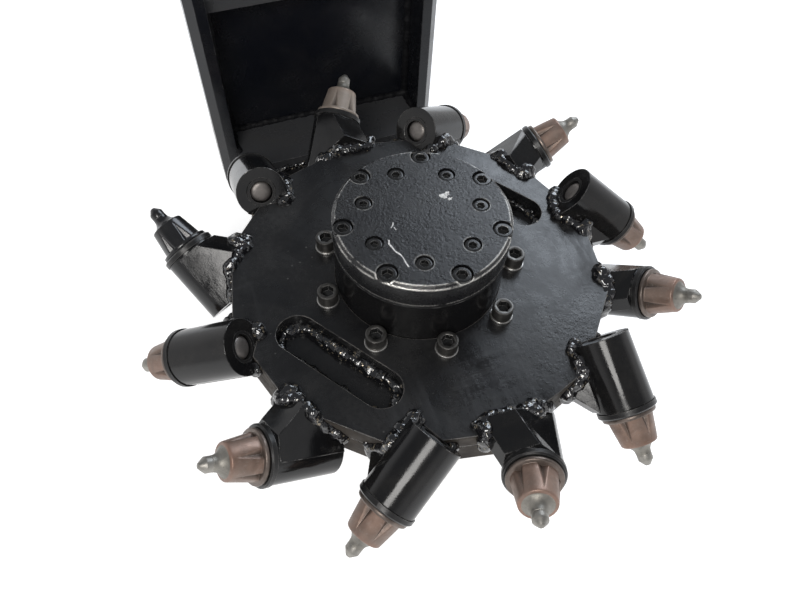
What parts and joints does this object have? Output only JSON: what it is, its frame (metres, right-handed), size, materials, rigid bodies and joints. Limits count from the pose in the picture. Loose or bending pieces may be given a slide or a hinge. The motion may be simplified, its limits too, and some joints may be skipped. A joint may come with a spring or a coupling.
{
  "type": "asphalt milling attachment",
  "caption": "Excavator milling attachment: a thick toothed disc with welded holders and turning conical picks, spun by a hub motor on a box bracket with a pin hitch.",
  "frame": {"origin": "on the rear face of the hitch pad, midway between the two hitch ears and the two pins", "axes": "+X across the bracket, +Y to the carrier, +Z along the cutter's axis out of the hub cover; it lies on its motor cap and cheeks"},
  "size_m": [0.5053, 0.7171, 0.292],
  "materials": {
    "black_paint": "gloss black paint, scuffed at edges",
    "pick_steel": "forged steel with a brown heat tint, grey carbide tip",
    "ring_steel": "dull rolled steel",
    "machined_steel": "machined steel"
  },
  "bodies": {
    "frame": {"bracket_wall": "black_paint", "bracket_floor": "black_paint", "cross_plate": "black_paint", "cheek_left": "black_paint", "cheek_right": "black_paint", "motor_arm": "black_paint", "motor_spindle": "machined_steel", "motor_cap": "black_paint", "hitch_pad": "black_paint", "hitch_ear_upper": "black_paint", "hitch_ear_lower": "black_paint", "hitch_bosses": "black_paint"},
    "cutter": {"disc_upper_plate": "black_paint", "disc_lower_plate": "black_paint", "hub_flange": "black_paint", "hub_barrel": "black_paint", "hub_cover": "black_paint", "pick_holders": "black_paint", "wear_rings": "ring_steel", "retaining_rings": "ring_steel"},
    "pick_01": {"pick_01": "pick_steel"},
    "pick_02": {"pick_02": "pick_steel"},
    "pick_03": {"pick_03": "pick_steel"},
    "pick_04": {"pick_04": "pick_steel"},
    "pick_05": {"pick_05": "pick_steel"},
    "pick_06": {"pick_06": "pick_steel"},
    "pick_07": {"pick_07": "pick_steel"},
    "pick_08": {"pick_08": "pick_steel"},
    "pick_09": {"pick_09": "pick_steel"},
    "pick_10": {"pick_10": "pick_steel"},
    "pick_11": {"pick_11": "pick_steel"},
    "pick_12": {"pick_12": "pick_steel"}
  },
  "joints": [
    {"name": "cutter_spin", "type": "hinge", "parent": "frame", "child": "cutter", "pos_m": [0, -0.353, 0.014], "axis": [0, 0, -1], "continuous": true},
    {"name": "pick_01_turn", "type": "hinge", "parent": "cutter", "child": "pick_01", "pos_m": [-0.00946, -0.13848, 0.01085], "axis": [0.4428, 0.7639, 0.4695], "continuous": true},
    {"name": "pick_02_turn", "type": "hinge", "parent": "cutter", "child": "pick_02", "pos_m": [0.1042, -0.16944, -0.00475], "axis": [0.7574, 0.4199, -0.5], "continuous": true},
    {"name": "pick_03_turn", "type": "hinge", "parent": "cutter", "child": "pick_03", "pos_m": [0.17888, -0.23908, 0.00575], "axis": [0.8659, 0.0166, 0.5], "continuous": true},
    {"name": "pick_04_turn", "type": "hinge", "parent": "cutter", "child": "pick_04", "pos_m": [0.20991, -0.35073, -0.00351], "axis": [0.7015, -0.4132, -0.5807], "continuous": true},
    {"name": "pick_05_turn", "type": "hinge", "parent": "cutter", "child": "pick_05", "pos_m": [0.19284, -0.43837, -0.00111], "axis": [0.4628, -0.6759, 0.5736], "continuous": true},
    {"name": "pick_06_turn", "type": "hinge", "parent": "cutter", "child": "pick_06", "pos_m": [0.11831, -0.53081, -0.00545], "axis": [0.0521, -0.8773, -0.4772], "continuous": true},
    {"name": "pick_07_turn", "type": "hinge", "parent": "cutter", "child": "pick_07", "pos_m": [0.01414, -0.5605, 0.00849], "axis": [-0.394, -0.8078, 0.4384], "continuous": true},
    {"name": "pick_08_turn", "type": "hinge", "parent": "cutter", "child": "pick_08", "pos_m": [-0.0954, -0.53823, -0.00567], "axis": [-0.7815, -0.4279, -0.454], "continuous": true},
    {"name": "pick_09_turn", "type": "hinge", "parent": "cutter", "child": "pick_09", "pos_m": [-0.17641, -0.47477, 0.00385], "axis": [-0.859, -0.0676, 0.5075], "continuous": true},
    {"name": "pick_10_turn", "type": "hinge", "parent": "cutter", "child": "pick_10", "pos_m": [-0.21455, -0.36465, -0.00395], "axis": [-0.7865, 0.3921, -0.4772], "continuous": true},
    {"name": "pick_11_turn", "type": "hinge", "parent": "cutter", "child": "pick_11", "pos_m": [-0.1908, -0.25902, 0.00365], "axis": [-0.4193, 0.7627, 0.4924], "continuous": true},
    {"name": "pick_12_turn", "type": "hinge", "parent": "cutter", "child": "pick_12", "pos_m": [-0.11316, -0.17482, -0.00475], "axis": [-0.0151, 0.8659, -0.5], "continuous": true}
  ]
}
